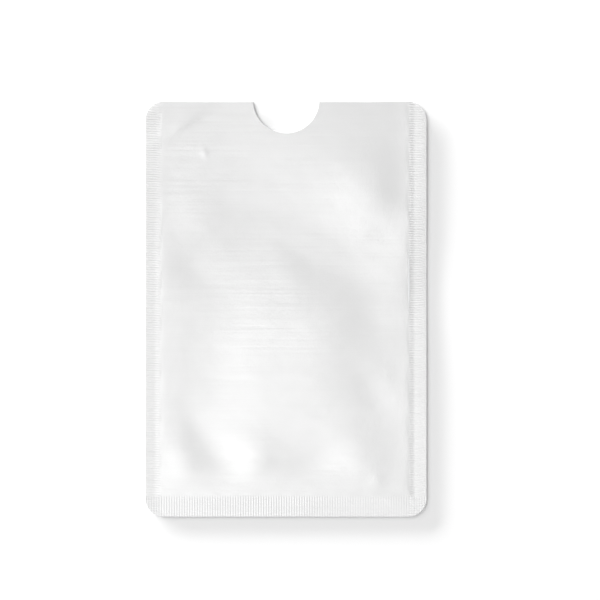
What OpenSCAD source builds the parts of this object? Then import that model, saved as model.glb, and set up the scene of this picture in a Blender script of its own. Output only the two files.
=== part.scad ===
// A flat foil sleeve that shields one contactless card. Two laminated walls, each a printed
// film, an aluminium foil and a sealing liner, are heat-sealed to each other along the left,
// right and bottom edges. The mouth, at +Y, is open, and a thumb notch is cut through both walls.
// The sleeve lies on its back: +Z is up, and the origin is on the surface under its middle.

/* [Card] */
// Width of the card that the pocket takes
card_w = 54; // [50:0.5:92]
// Length of that card
card_l = 85.6; // [70:0.1:128]
// Thickness of that card
card_t = 0.76; // [0.3:0.02:2]

/* [Pocket] */
// Play across the card, both sides together
side_play = 0.9; // [0.2:0.1:4]
// How far the card's outer end lies inside the mouth
mouth_inset = 1; // [0:0.1:8]
// Play above the card at the rim of the pocket
lift_play = 0.1; // [0.02:0.02:1]
// How much higher the front wall puffs up in its middle
puff_h = 0.12; // [0.04:0.02:1]
// Length over which that puff grows from the welds
puff_run = 22; // [6:1:26]
// Length over which the soft folds of the front wall grow from the welds
fold_run = 7; // [3:1:26]
// Height of those folds, 1 being the folds as photographed
fold_strength = 1; // [0:0.1:2]

/* [Seals] */
// Width of the flat weld along the left edge
left_weld_w = 2.1; // [1.5:0.1:8]
// Width of the flat weld along the right edge
right_weld_w = 2.8; // [1.5:0.1:8]
// Width of the flat weld along the bottom edge
bottom_weld_w = 3.8; // [2:0.1:10]
// Width over which the front wall climbs from a weld to the pocket's roof
shoulder_w = 1.1; // [0.6:0.1:4]
// Width of the melted bead at the inner edge of a weld
bead_w = 0.1; // [0.06:0.02:0.4]

/* [Outline] */
// Radius of the four outer corners
corner_r = 4; // [1:0.25:5]
// Radius of the thumb notch
notch_r = 7.3; // [4:0.1:12]
// How far the centre of the notch lies outside the mouth edge
notch_rise = 0.4; // [0:0.1:2]

/* [Laminate] */
// Thickness of the printed outer film with its ink
film_t = 0.03; // [0.02:0.01:0.2]
// Thickness of the aluminium foil with its two coats of glue
foil_t = 0.02; // [0.01:0.01:0.1]
// Thickness of the sealing liner
liner_t = 0.07; // [0.03:0.01:0.2]

/* [Hidden] */
$fn = 96;

// Outline: the sleeve is as large as the card, its play, the shoulders and the welds.
pocket_w = card_w + side_play;
pocket_l = card_l + mouth_inset;
sleeve_w = left_weld_w + shoulder_w + pocket_w + shoulder_w + right_weld_w;
sleeve_l = bottom_weld_w + shoulder_w + pocket_l;
edge_right = sleeve_w / 2;
edge_left = -edge_right;
edge_mouth = sleeve_l / 2;
edge_bottom = -edge_mouth;

// Creases, where the flat welds end, and the inner edges of the shoulders.
crease_left = edge_left + left_weld_w;
crease_right = edge_right - right_weld_w;
crease_bottom = edge_bottom + bottom_weld_w;
inner_left = crease_left + shoulder_w;
inner_right = crease_right - shoulder_w;
inner_bottom = crease_bottom + shoulder_w;
pocket_mid = (inner_left + inner_right) / 2;
notch_half_w = sqrt(notch_r ^ 2 - notch_rise ^ 2);

// Least height above a rounded corner over which the rows of the grid are pressed together
squeeze_room = 0.5;

// Heights, from the surface up. A weld is both liners melted into one.
back_foil_z = film_t;
weld_z = back_foil_z + foil_t;
pocket_floor_z = weld_z + liner_t;
rim_gap = card_t + lift_play;

// Soft folds of the front wall: [x, y, direction, half length, half width, height], with the place
// counted from the middle of the pocket in half widths and half lengths, and the rest in
// degrees and millimetres. A positive height is a ridge and a negative one a valley.
FOLDS = [
    [ 0.53,   0.235, -42, 20, 10,  -0.17],
    [ 0.125, -0.12,  -50, 18, 12,   0.10],
    [ 0.70,   0.61,  -41, 14,  7,   0.10],
    [-0.80,   0.28,    5,  9,  6.5, -0.08],
    [-0.56,  -0.44,   88, 14,  8,  -0.12],
    [-0.52,  -0.80,  -60,  9,  4,  -0.06],
    [-0.78,  -0.85,  -42,  9,  4.8, 0.12],
    [-0.13,  -0.75,   90, 12,  5,   0.06],
    [ 0.64,  -0.72,  -68, 13,  6,   0.08],
    [ 0.745, -0.50,  -50,  8,  4,  -0.05]
];

function limited(t) = min(1, max(0, t));
function eased(t) = limited(t) ^ 2 * (3 - 2 * limited(t));
function bell(t) = exp(-t * t);
function remapped(y, from_low, from_high, to_low, to_high) =
    to_low + (y - from_low) * (to_high - to_low) / (from_high - from_low);

// How far a point lies inside the creases: over the welds this is zero or less.
function inset(x, y) = min(x - crease_left, crease_right - x, y - crease_bottom);

function fold(x, y, f) =
    let (
        dx = x - pocket_mid - f[0] * pocket_w / 2,
        dy = y - (edge_mouth + inner_bottom) / 2 - f[1] * pocket_l / 2,
        along = dx * cos(f[2]) + dy * sin(f[2]),
        across = dy * cos(f[2]) - dx * sin(f[2])
    ) f[5] * bell(along / f[3]) * bell(across / f[4]);

function all_folds(x, y, i = 0) = i == len(FOLDS) ? 0 : fold(x, y, FOLDS[i]) + all_folds(x, y, i + 1);

// From nothing at the shoulders to one at a length further in.
function grown(x, y, run) =
    eased((x - inner_left) / run) * eased((inner_right - x) / run) * eased((y - inner_bottom) / run);

// The puffed and folded roof, above the height that the card needs.
function puff(x, y) =
    max(0, puff_h * grown(x, y, puff_run) + fold_strength * grown(x, y, fold_run) * all_folds(x, y));

// Free height between the back wall and the front wall, which part at the bead of the weld.
function gap(x, y) = rim_gap * eased((inset(x, y) - bead_w) / (shoulder_w - bead_w)) + puff(x, y);

// Undersides of the front plies, and of the welds, which fill both liners' thickness.
function liner_z(x, y) = pocket_floor_z + gap(x, y);
function foil_z(x, y) = liner_z(x, y) + liner_t;
function film_z(x, y) = foil_z(x, y) + foil_t;
function weld_low_z(x, y) = inset(x, y) <= 0 ? weld_z : liner_z(x, y);

// The cut edges: how far the corner rounding and the notch cut in at a place across the width.
function corner_cut(x) =
    let (over = max(0, abs(x) - (edge_right - corner_r))) corner_r - sqrt(max(0, corner_r ^ 2 - over ^ 2));
function notch_cut(x) = abs(x) >= notch_half_w ? 0 : sqrt(notch_r ^ 2 - x ^ 2) - notch_rise;

// Grid lines. Key lines carry a crease, a shoulder or an outline; the others only follow curves.
function spread(a, b, steps) = [for (i = [1:steps - 1]) a + (b - a) * i / steps];
function sorted(v) =
    len(v) < 2 ? v
    : let (pivot = v[floor(len(v) / 2)]) concat(
        sorted([for (a = v) if (a < pivot) a]), [pivot], sorted([for (a = v) if (a > pivot) a])
    );
function apart_from(lines, keys, least) = [for (a = lines) if (min([for (k = keys) abs(a - k)]) > least) a];

shoulder_steps = [0, bead_w, (bead_w + shoulder_w) / 2, shoulder_w];
key_columns = concat(
    [edge_left, edge_right],
    [for (s = shoulder_steps) crease_left + s],
    [for (s = shoulder_steps) crease_right - s],
    [for (a = [-90:18:90]) notch_half_w * sin(a)]
);
corner_columns = [for (side = [-1, 1], a = [22, 42, 62, 90]) side * (edge_right - corner_r * (1 - cos(a)))];
columns = sorted(concat(
    key_columns,
    apart_from(corner_columns, key_columns, 0.25),
    spread(inner_left, -notch_half_w, 6),
    spread(notch_half_w, inner_right, 6)
));
bend_row = max(inner_bottom, edge_bottom + corner_r + squeeze_room);
notch_row = edge_mouth - 2 * (notch_r - notch_rise);
rows = sorted(concat(
    [edge_bottom, edge_bottom + bottom_weld_w / 2, edge_mouth, notch_row],
    [for (s = shoulder_steps) crease_bottom + s],
    bend_row > inner_bottom ? [bend_row] : [],
    spread(bend_row, notch_row, 17),
    spread(notch_row, edge_mouth, 4)
));

// A row's place in a column: pressed together above a rounded corner and below the notch.
function row_in_column(x, y) =
    let (
        bend = x > crease_left && x < crease_right ? crease_bottom : bend_row,
        top = edge_mouth - max(corner_cut(x), notch_cut(x))
    ) y < bend ? remapped(y, edge_bottom, bend, edge_bottom + corner_cut(x), bend)
    : y > notch_row ? remapped(y, notch_row, edge_mouth, notch_row, top)
    : y;

// A ply: the closed solid between two heights over the grid lines within a range.
module ply(low, high, from_x = edge_left, to_x = edge_right, from_y = edge_bottom, to_y = edge_mouth) {
    xs = [for (x = columns) if (x >= from_x && x <= to_x) x];
    ys = [for (y = rows) if (y >= from_y && y <= to_y) y];
    m = len(xs);
    n = len(ys);
    spots = [for (x = xs, y = ys) [x, row_in_column(x, y)]];
    function at(i, j, level) = (level * m + i) * n + j;
    function wall(a, b, c, d) = [at(a, b, 0), at(c, d, 0), at(c, d, 1), at(a, b, 1)];
    i_last = m - 1;
    j_last = n - 1;
    polyhedron(
        points = concat(
            [for (p = spots) [p[0], p[1], low(p[0], p[1])]],
            [for (p = spots) [p[0], p[1], high(p[0], p[1])]]
        ),
        faces = concat(
            [for (i = [1:i_last], j = [1:j_last]) [at(i - 1, j - 1, 1), at(i - 1, j, 1), at(i, j, 1)]],
            [for (i = [1:i_last], j = [1:j_last]) [at(i - 1, j - 1, 1), at(i, j, 1), at(i, j - 1, 1)]],
            [for (i = [1:i_last], j = [1:j_last]) [at(i - 1, j - 1, 0), at(i, j, 0), at(i - 1, j, 0)]],
            [for (i = [1:i_last], j = [1:j_last]) [at(i - 1, j - 1, 0), at(i, j - 1, 0), at(i, j, 0)]],
            [for (j = [1:j_last]) wall(0, j - 1, 0, j)],
            [for (j = [1:j_last]) wall(i_last, j, i_last, j - 1)],
            [for (i = [1:i_last]) wall(i, 0, i - 1, 0)],
            [for (i = [1:i_last]) wall(i - 1, j_last, i, j_last)]
        )
    );
}

// The cut shape of a wall: rounded corners, and the notch in the mouth edge.
module cut_outline() {
    difference() {
        union() {
            square([sleeve_w - 2 * corner_r, sleeve_l], center = true);
            square([sleeve_w, sleeve_l - 2 * corner_r], center = true);
            for (x = [-1, 1], y = [-1, 1])
                translate([x * (edge_right - corner_r), y * (edge_mouth - corner_r)])
                    circle(corner_r);
        }
        translate([0, edge_mouth + notch_rise])
            circle(notch_r);
    }
}

// White printed film over the front of the sleeve.
module front_film() {
    color("white")
        ply(function (x, y) film_z(x, y), function (x, y) film_z(x, y) + film_t);
}

// Aluminium foil, the shield, under the front film.
module front_foil() {
    color("silver")
        ply(function (x, y) foil_z(x, y), function (x, y) foil_z(x, y) + foil_t);
}

// Clear sealing liner: the roof of the pocket, between the seals.
module front_liner() {
    color("aliceblue")
        ply(function (x, y) liner_z(x, y), function (x, y) foil_z(x, y),
            from_x = inner_left, to_x = inner_right, from_y = inner_bottom);
}

// The three welds: both liners melted together, with the rim that climbs to the roof.
module left_weld() {
    color("gainsboro")
        ply(function (x, y) weld_low_z(x, y), function (x, y) foil_z(x, y),
            to_x = inner_left, from_y = inner_bottom);
}

module right_weld() {
    color("gainsboro")
        ply(function (x, y) weld_low_z(x, y), function (x, y) foil_z(x, y),
            from_x = inner_right, from_y = inner_bottom);
}

module bottom_weld() {
    color("gainsboro")
        ply(function (x, y) weld_low_z(x, y), function (x, y) foil_z(x, y), to_y = inner_bottom);
}

// Clear sealing liner of the back wall: the floor of the pocket, up to the beads of the welds.
module back_liner() {
    color("aliceblue")
        translate([0, 0, weld_z])
            linear_extrude(liner_t)
                intersection() {
                    cut_outline();
                    translate([crease_left + bead_w, crease_bottom + bead_w])
                        square([crease_right - crease_left - 2 * bead_w, sleeve_l]);
                }
}

// Aluminium foil of the back wall.
module back_foil() {
    color("silver")
        translate([0, 0, back_foil_z])
            linear_extrude(foil_t)
                cut_outline();
}

// White printed film of the back wall, which lies on the surface.
module back_film() {
    color("white")
        linear_extrude(film_t)
            cut_outline();
}

front_film();
front_foil();
front_liner();
left_weld();
right_weld();
bottom_weld();
back_liner();
back_foil();
back_film();
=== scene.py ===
import math

import bpy
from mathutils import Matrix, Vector, noise
from mathutils.geometry import delaunay_2d_cdt


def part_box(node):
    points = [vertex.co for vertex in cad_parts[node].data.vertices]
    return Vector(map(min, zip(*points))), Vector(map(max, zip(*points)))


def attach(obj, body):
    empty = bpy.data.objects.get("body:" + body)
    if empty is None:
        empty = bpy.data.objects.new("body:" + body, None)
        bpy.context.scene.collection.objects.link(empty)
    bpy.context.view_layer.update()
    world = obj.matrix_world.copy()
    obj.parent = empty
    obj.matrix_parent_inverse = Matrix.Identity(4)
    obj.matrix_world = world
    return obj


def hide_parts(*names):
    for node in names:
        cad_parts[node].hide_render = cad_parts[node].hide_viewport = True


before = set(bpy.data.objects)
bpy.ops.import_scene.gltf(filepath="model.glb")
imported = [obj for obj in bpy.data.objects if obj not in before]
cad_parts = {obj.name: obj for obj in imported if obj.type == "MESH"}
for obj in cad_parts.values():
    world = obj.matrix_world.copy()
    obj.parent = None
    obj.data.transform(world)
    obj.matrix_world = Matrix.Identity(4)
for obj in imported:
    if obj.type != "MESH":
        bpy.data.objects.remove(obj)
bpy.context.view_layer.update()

# ---- Camera ----
# It looks straight down on the sleeve through a long lens, as for a product picture.
# The sleeve lies a little left of and below the middle of a square frame.
photo_px = 600
sleeve_width_px = 281
sleeve_centre_px = Vector((286.0, 309.2))
lens_mm = 700
sensor_mm = 36

back_low, back_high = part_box("back_film")
pixel = (back_high.x - back_low.x) / sleeve_width_px
camera_data = bpy.data.cameras.new("camera")
camera_data.lens = lens_mm
camera_data.sensor_width = sensor_mm
camera = bpy.data.objects.new("camera", camera_data)
camera.location = (
    (photo_px / 2 - sleeve_centre_px.x) * pixel,
    (sleeve_centre_px.y - photo_px / 2) * pixel,
    photo_px * pixel * lens_mm / sensor_mm,
)
bpy.context.collection.objects.link(camera)
bpy.context.scene.camera = camera
bpy.context.scene.view_settings.view_transform = "Standard"


# ---- Studio ----
# A plain white table in a light tent. A softbox overhead, to the left, is mirrored in the film.
# A lamp and a low light wall beyond the upper left corner throw the shadow to the lower right.
def new_material(name):
    """A new material, with its nodes and links."""
    material = bpy.data.materials.new(name)
    material.use_nodes = True
    return material, material.node_tree.nodes, material.node_tree.links


table_size = 12.0
table_grey = 0.90
table_roughness = 0.9
table_specular = 0.1
bpy.ops.mesh.primitive_plane_add(size=table_size, location=(0, 0, 0))
table = bpy.context.object
table.name = "table"
table_paint, nodes, links = new_material("table_white")
shader = nodes["Principled BSDF"]
shader.inputs["Base Color"].default_value = (table_grey, table_grey, table_grey, 1)
shader.inputs["Roughness"].default_value = table_roughness
shader.inputs["Specular IOR Level"].default_value = table_specular
table.data.materials.append(table_paint)

tent_light = 0.43
world = bpy.data.worlds.new("tent")
world.use_nodes = True
world.node_tree.nodes["Background"].inputs["Color"].default_value = (1, 1, 1, 1)
world.node_tree.nodes["Background"].inputs["Strength"].default_value = tent_light
bpy.context.scene.world = world


def lamp(name, place, aim, size, power):
    """A flat lamp with its place, the point that it faces, its width and height, and its watts."""
    data = bpy.data.lights.new(name, "AREA")
    data.shape = "RECTANGLE"
    data.size, data.size_y = size
    data.energy = power
    panel = bpy.data.objects.new(name, data)
    panel.location = place
    panel.rotation_euler = (Vector(aim) - Vector(place)).to_track_quat("-Z", "Y").to_euler()
    bpy.context.collection.objects.link(panel)


lamp("softbox", (-1.60, -1.82, 3.0), (-1.60, -1.82, 0), (3.25, 3.75), 59.0)
lamp("corner_lamp", (-2.5, 1.9, 2.0), (0, 0, 0), (2.25, 2.25), 62.0)
lamp("light_wall", (-2.6, 2.6, 0.22), (0, 0, 0.1), (3.4, 0.3), 800.0)

# ---- Back wall's film ----
# White printed film, cut together with the rest: round corners, and a thumb notch in the mouth.
# Between the seals it lies on the table. The sealed edges have warped up a little from the heat.
# The sealing jaws have pressed fine ribs into it along the three seals.
# From here on all lengths are in millimetres, up to where a mesh is made.
mm = 0.001
corner_r = 4.0
notch_r = 7.3
notch_rise = 0.4
bead_w = 0.1


def node_box(node):
    """The low and the high corner of a solid's box, in millimetres."""
    low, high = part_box(node)
    return low / mm, high / mm


film_low, film_high = node_box("back_film")
floor_low, floor_high = node_box("back_liner")
roof_low, roof_high = node_box("front_liner")
edge_left, edge_bottom = film_low.x, film_low.y
edge_right, edge_mouth = film_high.x, film_high.y
crease_left, crease_right = floor_low.x - bead_w, floor_high.x + bead_w
crease_bottom = floor_low.y - bead_w
inner_left, inner_right, inner_bottom = roof_low.x, roof_high.x, roof_low.y

edge_lift = 0.24
bottom_lift = -0.09
right_curl = 0.04
left_curl = 0.01
bottom_curl = 0.05
right_dip = 0.13
dip_y = 6.0
dip_run = 12.0
dip_taper = 3
parted_run = 9.0
rib_pitch_side = 0.527
rib_pitch_bottom = 0.563
rib_h = 0.06
rib_grow = 0.3
side_rib_start = 0.1
bottom_rib_start = 0.2
right_rib = 0.95
right_rib_end = 0.5
right_rib_end_run = 0.2
worn_rib = 0.55
worn_y = -30
worn_run = 50
bottom_rib = 0.23
bottom_rib_loss = 0.13
loss_x = -5
loss_run = 25
back_rib = 0.4
side_step = rib_pitch_side / 6
bottom_step = rib_pitch_bottom / 6
band_step = 0.3
cut_edge_turn = math.radians(45)


def eased(t):
    """A rise from nothing to one, soft at both ends."""
    t = min(1.0, max(0.0, t))
    return t * t * (3 - 2 * t)


def edge_stand(x, y):
    """How high the sealed edges stand above the table."""
    right = (x - edge_left) / (edge_right - edge_left)
    dip = right_dip * right ** dip_taper * math.exp(-(((y - dip_y) / dip_run) ** 2))
    low = (edge_mouth - y) / (edge_mouth - edge_bottom)
    right_rise = right_curl * max(0.0, (x - crease_right) / (edge_right - crease_right))
    left_rise = left_curl * max(0.0, (crease_left - x) / (crease_left - edge_left))
    low_rise = bottom_curl * max(0.0, (crease_bottom - y) / (crease_bottom - edge_bottom))
    return edge_lift + bottom_lift * low + right_rise + left_rise + low_rise - dip


def fade(x, y, run):
    """From nothing at the seals to one further in."""
    sides = eased((x - inner_left) / run) * eased((inner_right - x) / run)
    return sides * eased((y - inner_bottom) / run)


def lift(x, y):
    """Height of the back wall: down on the table between the seals."""
    return edge_stand(x, y) * (1 - fade(x, y, parted_run))


def inset(x, y):
    """How far a place lies inside the creases where the flat seals end."""
    return min(x - crease_left, crease_right - x, y - crease_bottom)


def ribs(x, y):
    """Height of the ribs pressed into the seals, lines across each seal, crossed in the corners."""
    left = eased((inner_left - side_rib_start - x) / rib_grow)
    right = right_rib * eased((x - inner_right - side_rib_start) / rib_grow)
    right *= eased((edge_right - right_rib_end - x) / right_rib_end_run)
    worn = worn_rib + (1 - worn_rib) * eased((y - worn_y) / worn_run)
    side = worn * max(left, right) * math.cos(2 * math.pi * y / rib_pitch_side)
    bottom = eased((inner_bottom - bottom_rib_start - y) / rib_grow)
    faint = bottom_rib - bottom_rib_loss * eased((x - loss_x) / loss_run)
    low = bottom * faint * math.cos(2 * math.pi * x / rib_pitch_bottom)
    return 0.5 * rib_h * (side + low)


def depth(x, y):
    """How far a place lies inside the cut edge."""
    over_x = abs(x) - (edge_right - corner_r)
    over_y = abs(y) - (edge_mouth - corner_r)
    if over_x > 0 and over_y > 0:
        body = corner_r - math.hypot(over_x, over_y)
    else:
        body = corner_r - max(over_x, over_y)
    return min(body, math.hypot(x, y - edge_mouth - notch_rise) - notch_r)


def steps(start, end, spacing):
    """Evenly spaced numbers from a start up to, and without, an end."""
    count = max(1, round(abs(end - start) / spacing))
    return [start + (end - start) * i / count for i in range(count)]


arc_least = 6


def arc(centre_x, centre_y, radius, start, end, spacing):
    """Evenly spaced points of an arc between two angles in degrees, without the last one."""
    count = max(arc_least, round(radius * math.radians(abs(end - start)) / spacing))
    turn = [math.radians(start + (end - start) * i / count) for i in range(count)]
    return [(centre_x + radius * math.cos(a), centre_y + radius * math.sin(a)) for a in turn]


def cut_outline(side_spacing, end_spacing):
    """The cut edge, anticlockwise from the left end of the notch round to the notch itself."""
    cx, cy = edge_right - corner_r, edge_mouth - corner_r
    notch_half = math.sqrt(notch_r ** 2 - notch_rise ** 2)
    dip = math.degrees(math.asin(notch_rise / notch_r))
    points = [(x, edge_mouth) for x in steps(-notch_half, -cx, end_spacing)]
    points += arc(-cx, cy, corner_r, 90, 180, side_spacing)
    points += [(edge_left, y) for y in steps(cy, -cy, side_spacing)]
    points += arc(-cx, -cy, corner_r, 180, 270, side_spacing)
    points += [(x, edge_bottom) for x in steps(-cx, cx, end_spacing)]
    points += arc(cx, -cy, corner_r, 270, 360, side_spacing)
    points += [(edge_right, y) for y in steps(-cy, cy, side_spacing)]
    points += arc(cx, cy, corner_r, 0, 90, side_spacing)
    points += [(x, edge_mouth) for x in steps(cx, notch_half, end_spacing)]
    points += arc(0, edge_mouth + notch_rise, notch_r, -dip, -180 + dip, end_spacing)
    return points


rim_clearance = 0.4


def grid(x0, x1, y0, y1, step_x, step_y):
    """Points of a grid inside a rectangle, less those too near to the cut edge."""
    columns = steps(x0, x1, step_x)[1:]
    rows = steps(y0, y1, step_y)[1:]
    margin = min(step_x, step_y) * rim_clearance
    return [(x, y) for x in columns for y in rows if depth(x, y) > margin]


def wall_points(middle_step):
    """Points inside a wall: close enough for the ribs in the seals, wider apart between them."""
    points = grid(edge_left, inner_left, inner_bottom, edge_mouth, band_step, side_step)
    points += grid(inner_right, edge_right, inner_bottom, edge_mouth, band_step, side_step)
    points += grid(inner_left, inner_right, edge_bottom, inner_bottom, bottom_step, band_step)
    points += grid(edge_left, inner_left, edge_bottom, inner_bottom, bottom_step, side_step)
    points += grid(inner_right, edge_right, edge_bottom, inner_bottom, bottom_step, side_step)
    points += grid(inner_left, inner_right, inner_bottom, edge_mouth, middle_step, middle_step)
    return points


join_distance = 1e-5


def ply(name, outline, inside, low, high):
    """A closed solid between two heights over an outline."""
    flat = [Vector(p) for p in outline + inside]
    rim = list(range(len(outline)))
    corners, _, faces, _, _, _ = delaunay_2d_cdt(flat, [], [rim], 1, join_distance)
    count = len(corners)
    vertices = [(p.x * mm, p.y * mm, (lift(p.x, p.y) + high(p.x, p.y)) * mm) for p in corners]
    vertices += [(p.x * mm, p.y * mm, (lift(p.x, p.y) + low(p.x, p.y)) * mm) for p in corners]
    open_sides = {}
    for face in faces:
        for a, b in zip(face, face[1:] + face[:1]):
            if (b, a) in open_sides:
                del open_sides[(b, a)]
            else:
                open_sides[(a, b)] = True
    shell = [tuple(face) for face in faces]
    shell += [tuple(count + i for i in reversed(face)) for face in faces]
    shell += [(b, a, a + count, b + count) for a, b in open_sides]
    mesh = bpy.data.meshes.new(name)
    mesh.from_pydata(vertices, [], shell)
    mesh.polygons.foreach_set("use_smooth", [len(face) == 3 for face in shell])
    mesh.set_sharp_from_angle(angle=cut_edge_turn)
    mesh.update()
    piece = bpy.data.objects.new(name, mesh)
    bpy.context.collection.objects.link(piece)
    return piece


back_film_step = 1.0
rib_outline = cut_outline(side_step, bottom_step)
back_film = ply(
    "back_wall_film",
    rib_outline,
    wall_points(back_film_step),
    lambda x, y: back_rib * ribs(x, y),
    lambda x, y: film_high.z,
)
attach(back_film, "root")
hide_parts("back_film")


def lines_texture(nodes, links, scale, detail):
    """Noise drawn out into lines by a different scale along each axis, per metre."""
    place = nodes.new("ShaderNodeTexCoord")
    stretch = nodes.new("ShaderNodeMapping")
    stretch.inputs["Scale"].default_value = scale
    texture = nodes.new("ShaderNodeTexNoise")
    texture.inputs["Scale"].default_value = 1.0
    texture.inputs["Detail"].default_value = detail
    links.new(place.outputs["Object"], stretch.inputs["Vector"])
    links.new(stretch.outputs["Vector"], texture.inputs["Vector"])
    return texture.outputs["Fac"]


# Almost all of the noise lies between these two values.
noise_low, noise_high = 0.3, 0.7


def shade_range(nodes, links, source, dark, light):
    """A colour that varies between two greys with a texture."""
    ramp = nodes.new("ShaderNodeValToRGB")
    ramp.color_ramp.elements[0].position = noise_low
    ramp.color_ramp.elements[0].color = (*dark, 1)
    ramp.color_ramp.elements[1].position = noise_high
    ramp.color_ramp.elements[1].color = (*light, 1)
    links.new(source, ramp.inputs["Fac"])
    return ramp.outputs["Color"]


def number_range(nodes, links, source, low, high):
    """A number that varies between two values with a texture."""
    remap = nodes.new("ShaderNodeMapRange")
    remap.inputs["From Min"].default_value = noise_low
    remap.inputs["From Max"].default_value = noise_high
    remap.inputs["To Min"].default_value = low
    remap.inputs["To Max"].default_value = high
    links.new(source, remap.inputs["Value"])
    return remap.outputs["Result"]


def fine_relief(nodes, links, source, height, onto=None):
    """Relief finer than the mesh, with its height in metres."""
    relief = nodes.new("ShaderNodeBump")
    relief.inputs["Distance"].default_value = height
    links.new(source, relief.inputs["Height"])
    if onto is not None:
        links.new(onto, relief.inputs["Normal"])
    return relief.outputs["Normal"]


# The film is pearl white: part of its light is mirrored by the foil behind it, and the fine
# lines of the rolling show through, all of them across the sleeve.
pearl_film, nodes, links = new_material("pearl_film")
shader = nodes["Principled BSDF"]
shader.inputs["Metallic"].default_value = 0.35
rolled = lines_texture(nodes, links, (35, 1500, 900), 2.0)
grain = lines_texture(nodes, links, (1500, 2200, 1500), 2.0)
clouds = lines_texture(nodes, links, (60, 110, 60), 2.0)
links.new(
    shade_range(nodes, links, clouds, (0.740, 0.740, 0.740), (0.765, 0.765, 0.765)),
    shader.inputs["Base Color"],
)
links.new(number_range(nodes, links, rolled, 0.155, 0.185), shader.inputs["Roughness"])
relief = fine_relief(nodes, links, rolled, 14e-6)
links.new(fine_relief(nodes, links, grain, 0.8e-6, relief), shader.inputs["Normal"])
back_film.data.materials.append(pearl_film)


# ---- Back wall's foil ----
# Bright aluminium foil, glued to the film. With the front foil it is the shield.
# Only its cut edge can be seen, all round the sleeve.
foil_low, foil_high = node_box("back_foil")
ply_step = 0.6
plain_outline = cut_outline(ply_step, ply_step)
plain_points = grid(edge_left, edge_right, edge_bottom, edge_mouth, ply_step, ply_step)
back_foil = ply(
    "back_wall_foil",
    plain_outline,
    plain_points,
    lambda x, y: film_high.z,
    lambda x, y: foil_high.z,
)
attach(back_foil, "root")
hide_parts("back_foil")

bright_foil, nodes, links = new_material("bright_foil")
shader = nodes["Principled BSDF"]
shader.inputs["Metallic"].default_value = 1.0
mill_lines = lines_texture(nodes, links, (4000, 120, 4000), 4.0)
links.new(
    shade_range(nodes, links, mill_lines, (0.76, 0.76, 0.78), (0.86, 0.86, 0.88)),
    shader.inputs["Base Color"],
)
links.new(number_range(nodes, links, mill_lines, 0.22, 0.38), shader.inputs["Roughness"])
links.new(fine_relief(nodes, links, mill_lines, 1.5e-6), shader.inputs["Normal"])
back_foil.data.materials.append(bright_foil)


# ---- Back wall's liner ----
# Clear heat-seal plastic on the inside of the wall: the floor of the pocket.
# It shows in the mouth, and it ends in the beads of the three welds.
def clipped(points, axis, limit, side):
    """The part of an outline on one side of a straight line."""
    kept = []
    for here, after in zip(points, points[1:] + points[:1]):
        a, b = side * (here[axis] - limit), side * (after[axis] - limit)
        if a >= 0:
            kept.append(here)
        if a * b < 0:
            t = a / (a - b)
            kept.append(tuple(here[k] + t * (after[k] - here[k]) for k in (0, 1)))
    return kept


def between(outline, x0, x1, y0):
    """The part of an outline between two upright lines and above a level one."""
    return clipped(clipped(clipped(outline, 0, x0, 1), 0, x1, -1), 1, y0, 1)


cut_margin = 0.1
above_mouth = edge_mouth + 1


def inside_of(points, x0, x1, y0, y1):
    """The points well inside a rectangle."""
    columns = [p for p in points if x0 + cut_margin < p[0] < x1 - cut_margin]
    return [p for p in columns if y0 + cut_margin < p[1] < y1 - cut_margin]


back_liner = ply(
    "pocket_floor_liner",
    between(plain_outline, floor_low.x, floor_high.x, floor_low.y),
    inside_of(plain_points, floor_low.x, floor_high.x, floor_low.y, above_mouth),
    lambda x, y: floor_low.z,
    lambda x, y: floor_high.z,
)
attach(back_liner, "root")
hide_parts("back_liner")

satin_liner, nodes, links = new_material("satin_liner")
shader = nodes["Principled BSDF"]
shader.inputs["Metallic"].default_value = 0.55
drawn_lines = lines_texture(nodes, links, (2200, 140, 2200), 3.0)
links.new(
    shade_range(nodes, links, drawn_lines, (0.74, 0.75, 0.76), (0.82, 0.83, 0.84)),
    shader.inputs["Base Color"],
)
links.new(number_range(nodes, links, drawn_lines, 0.34, 0.46), shader.inputs["Roughness"])
links.new(fine_relief(nodes, links, drawn_lines, 2e-6), shader.inputs["Normal"])
back_liner.data.materials.append(satin_liner)

# ---- Front wall's liner ----
# The same plastic inside the front wall: the roof of the pocket, between the three welds.
# It has settled on the back wall in soft folds, which all the front wall's layers share.
shoulder_w = inner_left - crease_left
pocket_w = inner_right - inner_left
pocket_l = edge_mouth - inner_bottom
pocket_mid = (inner_left + inner_right) / 2
liner_t = floor_high.z - floor_low.z
foil_t = foil_high.z - foil_low.z
film_t = film_high.z - film_low.z
pocket_floor_z = floor_high.z
rim_gap = 0.015
puff_h = 0.03
puff_run = 22.0
fold_run = 8
touch = 0.04

# Place counted from the middle of the pocket in half widths and half lengths, direction in
# degrees, half length, half width and height in millimetres.
folds = [
    (0.12, 0.29, 0, 19, 10.5, -0.25),
    (0.50, 0.15, -40, 9, 4.5, -0.07),
    (0.02, 0.15, -55, 7, 4, 0.05),
    (-0.68, 0.13, -20, 7, 4.5, -0.05),
    (-0.70, 0.44, 0, 6, 5, 0.04),
    (-0.55, -0.37, 88, 24, 8, -0.09),
    (-0.38, 0.00, 60, 7, 6, -0.03),
    (0.30, -0.23, 80, 10, 8, 0.05),
    (0.66, -0.10, -35, 6, 4.5, -0.04),
    (0.72, -0.50, -50, 6, 3.5, -0.03),
    (-0.36, 0.70, 0, 12, 11, -0.06),
    (0.68, 0.57, -50, 9, 7, 0.10),
    (-0.12, -0.66, -10, 8, 4, -0.03),
    (0.27, -0.84, 10, 7, 5, -0.06),
    (0.56, -0.76, -50, 8, 5, 0.04),
    (-0.24, -0.82, 75, 6, 4, 0.05),
    (-0.58, -0.75, -44, 8, 4, -0.06),
    (-0.83, -0.86, -42, 7, 5, 0.07),
]


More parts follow.
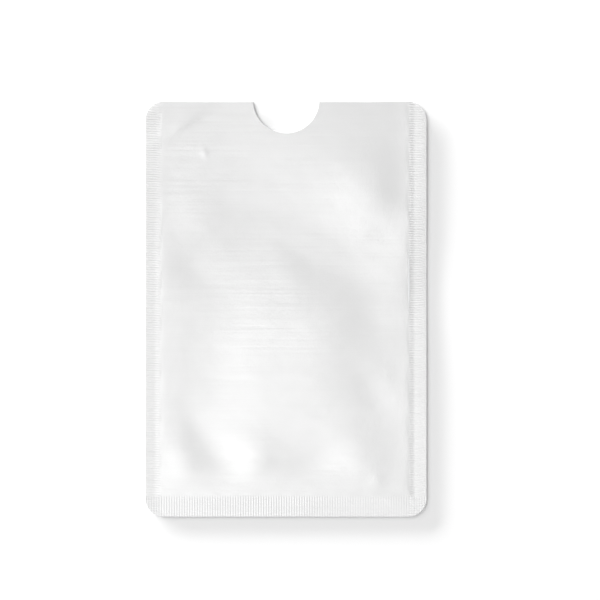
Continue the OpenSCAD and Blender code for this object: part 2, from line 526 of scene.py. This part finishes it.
def hump(dx, dy, direction, half_length, half_width, height):
    """Height of a soft, long hump, or depth of a hollow, at a distance from its middle."""
    c, s = math.cos(math.radians(direction)), math.sin(math.radians(direction))
    along = (dx * c + dy * s) / half_length
    across = (dy * c - dx * s) / half_width
    return height * math.exp(-along * along - across * across)


def fold_height(x, y, place_x, place_y, *form):
    """Height that one of the folds adds at a place."""
    dx = x - pocket_mid - place_x * pocket_w / 2
    dy = y - (edge_mouth + inner_bottom) / 2 - place_y * pocket_l / 2
    return hump(dx, dy, *form)


def spread(t):
    """A rise from nothing to one, steep at first."""
    t = min(1.0, max(0.0, t))
    return t * (2 - t)


def bulge(x, y, run):
    """From nothing at the seals, which the wall leaves at an angle, to one further in."""
    sides = spread((x - inner_left) / run) * spread((inner_right - x) / run)
    return sides * spread((y - inner_bottom) / run)


def gap(x, y):
    """Height of the pocket: the front wall hangs from the seals, down to the back wall at most."""
    rim = rim_gap * eased((inset(x, y) - bead_w) / (shoulder_w - bead_w))
    if inset(x, y) <= shoulder_w:
        return rim
    waves = sum(fold_height(x, y, *fold) for fold in folds)
    free = edge_stand(x, y) * fade(x, y, parted_run)
    free += puff_h * bulge(x, y, puff_run) + waves * bulge(x, y, fold_run)
    return rim + 0.5 * (free + math.hypot(free, touch) - touch)


def liner_z(x, y):
    """The roof liner's underside. The foil and the film lie on top of the liner."""
    return pocket_floor_z + gap(x, y)


def foil_z(x, y):
    return liner_z(x, y) + liner_t


def film_z(x, y):
    return foil_z(x, y) + foil_t


front_liner = ply(
    "pocket_roof_liner",
    between(plain_outline, inner_left, inner_right, inner_bottom),
    inside_of(plain_points, inner_left, inner_right, inner_bottom, above_mouth),
    liner_z,
    foil_z,
)
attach(front_liner, "root")
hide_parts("front_liner")
front_liner.data.materials.append(satin_liner)

# ---- Welds ----
# Along the left, right and bottom edge both liners are melted into one flat band.
# Its inner rim climbs a little to the roof of the pocket.
weld_step = 0.25


def weld_low_z(x, y):
    """The underside: down on the back foil, and up on the roof's underside past the bead."""
    return floor_low.z + (liner_z(x, y) - floor_low.z) * eased(inset(x, y) / bead_w)


def weld(name, node, outline, points):
    """A weld band, as high as both liners together."""
    piece = ply(name, outline, points, weld_low_z, foil_z)
    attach(piece, "root")
    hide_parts(node)
    return piece


bead_rows = [0.0, bead_w, 0.4, 0.7]
side_rows = steps(inner_bottom, edge_mouth, weld_step)[1:]
left_points = [(crease_left + s, y) for s in bead_rows for y in side_rows]
right_points = [(crease_right - s, y) for s in bead_rows for y in side_rows]
left_points += inside_of(plain_points, edge_left, crease_left, inner_bottom, edge_mouth)
right_points += inside_of(plain_points, crease_right, edge_right, inner_bottom, edge_mouth)
low_points = [
    (x, crease_bottom + s)
    for s in bead_rows
    for x in steps(crease_left, crease_right, weld_step)[1:]
    if crease_left + s < x < crease_right - s
]
low_points += inside_of(plain_points, edge_left, edge_right, edge_bottom, crease_bottom)
low_outline = clipped(plain_outline, 1, inner_bottom, -1)
left_outline = between(plain_outline, edge_left, inner_left, inner_bottom)
right_outline = between(plain_outline, inner_right, edge_right, inner_bottom)
welds = [
    weld("left_weld_band", "left_weld", left_outline, left_points),
    weld("right_weld_band", "right_weld", right_outline, right_points),
    weld("bottom_weld_band", "bottom_weld", low_outline, low_points),
]

melted, nodes, links = new_material("melted_liner")
shader = nodes["Principled BSDF"]
shader.inputs["Metallic"].default_value = 0.2
blotches = lines_texture(nodes, links, (900, 900, 900), 4.0)
links.new(
    shade_range(nodes, links, blotches, (0.70, 0.71, 0.72), (0.80, 0.81, 0.82)),
    shader.inputs["Base Color"],
)
links.new(number_range(nodes, links, blotches, 0.40, 0.60), shader.inputs["Roughness"])
links.new(fine_relief(nodes, links, blotches, 4e-6), shader.inputs["Normal"])
for band in welds:
    band.data.materials.append(melted)

# ---- Front wall's foil ----
# Bright aluminium foil between the liner and the film, the other half of the shield.
# It reaches to all the cut edges, the notch too.
front_foil = ply("front_wall_foil", plain_outline, plain_points, foil_z, film_z)
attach(front_foil, "root")
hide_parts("front_foil")
front_foil.data.materials.append(bright_foil)

# ---- Front wall's film ----
# The pearl-white outside of the sleeve, ribbed over the seals. A groove follows the right crease
# and a bead the bottom one. Small creases and a ding have come from handling.
film_step = 0.5
crease_step = 0.25
film_slack = 0.03
groove_h = 0.005
bead_h = 0.009
line_w = 0.45
line_shift = 0.1
line_end = 0.5
waviness_h = 0.004
waviness_x, waviness_y = 4.0, 2.2
left_step = 0.009
mouth_step = -0.008
right_step = -0.010
step_w = 0.9
mouth_y = 18.0
mouth_run = 12.0
rim_drop = 0.006
rim_w = 0.35
crease_reach = 1.5
fine_crease_w = 1.0

# Place from the sleeve's middle, direction in degrees, half length, half width and height.
creases = [
    (-22.9, 41.4, 36, 6.5, 1.8, 0.055),
    (-18.0, 34.5, 110, 1.3, 0.8, 0.016),
    (-24.5, 29.2, 4, 4.0, 0.8, -0.012),
    (23.4, -3.7, -8, 5.0, 1.8, -0.010),
    (20.0, -37.5, -30, 1.6, 1.6, 0.014),
]


def film_top_z(x, y):
    """The film's outside, with all that the handling and the jaws have left in it."""
    side = min(x - crease_left, crease_right - x)
    low = y - crease_bottom
    across = (x - crease_left) / (crease_right - crease_left)
    step = left_step + (mouth_step - left_step) * eased((y - mouth_y) / mouth_run)
    step += (right_step - step) * across
    step *= eased((x - crease_left + line_shift) / step_w) * eased((crease_right - x) / step_w)
    lines = 0.0
    if x > 0:
        groove = groove_h * math.exp(-((side + line_shift) / line_w) ** 2)
        lines -= groove * eased((low + line_end) / (2 * line_end))
    bead = bead_h * math.exp(-((low + line_shift) / line_w) ** 2)
    lines += bead * eased((side + line_end) / (2 * line_end))
    small = sum(hump(x - place_x, y - place_y, *form) for place_x, place_y, *form in creases)
    small -= rim_drop * eased((x - edge_right + rim_w) / rim_w)
    waves = waviness_h * noise.noise(Vector((x / waviness_x, y / waviness_y, 0.0)))
    return film_z(x, y) + film_slack + film_t + ribs(x, y) + step + lines + small + waves


def near_crease(x, y):
    """Whether a place needs the closer points that a small crease or the ding is drawn with."""
    for place_x, place_y, _, half_length, half_width, _ in creases:
        reach = max(half_length, half_width) * crease_reach
        near = abs(x - place_x) < reach and abs(y - place_y) < reach
        if near and half_width < fine_crease_w:
            return inset(x, y) > shoulder_w + crease_step
    return False


film_points = [p for p in wall_points(film_step) if not near_crease(*p)]
crease_points = grid(inner_left, inner_right, inner_bottom, edge_mouth, crease_step, crease_step)
film_points += [p for p in crease_points if near_crease(*p)]
front_film = ply("front_wall_film", rib_outline, film_points, film_z, film_top_z)
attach(front_film, "root")
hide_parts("front_film")
front_film.data.materials.append(pearl_film)
